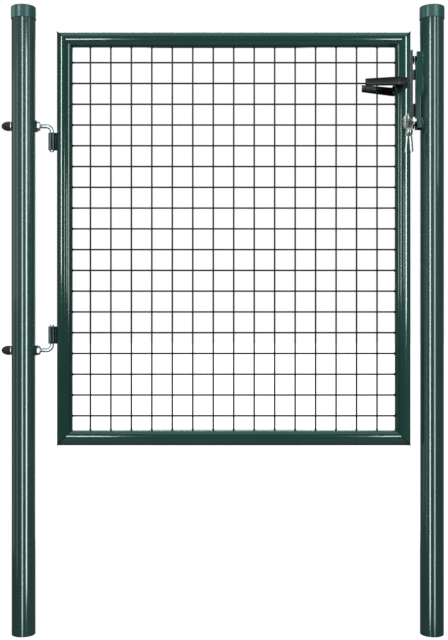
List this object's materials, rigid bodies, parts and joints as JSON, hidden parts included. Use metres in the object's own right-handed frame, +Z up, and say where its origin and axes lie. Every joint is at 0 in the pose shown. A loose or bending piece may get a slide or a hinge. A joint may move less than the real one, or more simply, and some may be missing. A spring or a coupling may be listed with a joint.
{
  "type": "steel garden gate with posts",
  "caption": "Single-leaf steel garden gate: mitred tube frame with welded mesh, hung on J-bolt hinges between two round capped posts, with a lever lock and a folded keep.",
  "frame": {"origin": "centre of the hinge post's foot", "axes": "+Z up along the hinge post, +X from the hinge post to the latch post, front faces -Y"},
  "size_m": [1.0715, 0.123, 1.517],
  "materials": {
    "green_coat": "gloss dark blue-green powder coat",
    "cap_plastic": "satin moulded plastic, a little lighter than the posts",
    "galvanised": "bright zinc plate",
    "black_plastic": "satin black moulding",
    "rubber": "matt black",
    "nickel": "nickel-plated brass"
  },
  "bodies": {
    "posts": {"hinge_post": "green_coat", "latch_post": "green_coat", "hinge_post_cap": "cap_plastic", "latch_post_cap": "cap_plastic", "upper_hinge_bolt": "galvanised", "lower_hinge_bolt": "galvanised", "upper_hinge_nut": "galvanised", "lower_hinge_nut": "galvanised", "upper_cap_nut": "black_plastic", "lower_cap_nut": "black_plastic", "upper_outer_saddle": "black_plastic", "lower_outer_saddle": "black_plastic", "upper_inner_saddle": "black_plastic", "lower_inner_saddle": "black_plastic", "strike_keep": "green_coat", "upper_buffer": "rubber", "lower_buffer": "rubber", "upper_buffer_screw": "galvanised", "lower_buffer_screw": "galvanised"},
    "leaf": {"top_rail": "green_coat", "bottom_rail": "green_coat", "hinge_stile": "green_coat", "latch_stile": "green_coat", "mesh_panel": "green_coat", "upper_hinge_barrel": "green_coat", "lower_hinge_barrel": "green_coat", "lock_case": "galvanised", "lock_forend": "galvanised", "lock_cylinder": "nickel", "front_rosette": "black_plastic", "rear_rosette": "black_plastic", "lock_key": "nickel", "key_ring": "nickel", "left_spare_key": "nickel", "right_spare_key": "nickel", "back_spare_key": "nickel"},
    "lever_pair": {"front_lever": "black_plastic", "rear_lever": "black_plastic", "lever_spindle": "galvanised"},
    "latch": {"latch_bolt": "galvanised"},
    "deadbolt": {"dead_bolt": "galvanised"}
  },
  "joints": [
    {"name": "leaf_swing", "type": "hinge", "parent": "posts", "child": "leaf", "pos_m": [0.0685, 0, 0], "axis": [0, 0, -1], "range_deg": [0, 110]},
    {"name": "lever_turn", "type": "hinge", "parent": "leaf", "child": "lever_pair", "pos_m": [0.91, 0, 1.324], "axis": [0, -1, 0], "range_deg": [0, 40], "stiffness_Nm_per_rad": 0.6, "springref_deg": -28.65},
    {"name": "latch_slide", "type": "slide", "parent": "leaf", "child": "latch", "axis": [-1, 0, 0], "range_m": [0, 0.012]},
    {"name": "deadbolt_slide", "type": "slide", "parent": "leaf", "child": "deadbolt", "axis": [-1, 0, 0], "range_m": [0, 0.012]}
  ],
  "couplings": [
    {"joint": "latch_slide", "follows": "lever_turn", "m_per_rad": 0.017188}
  ]
}
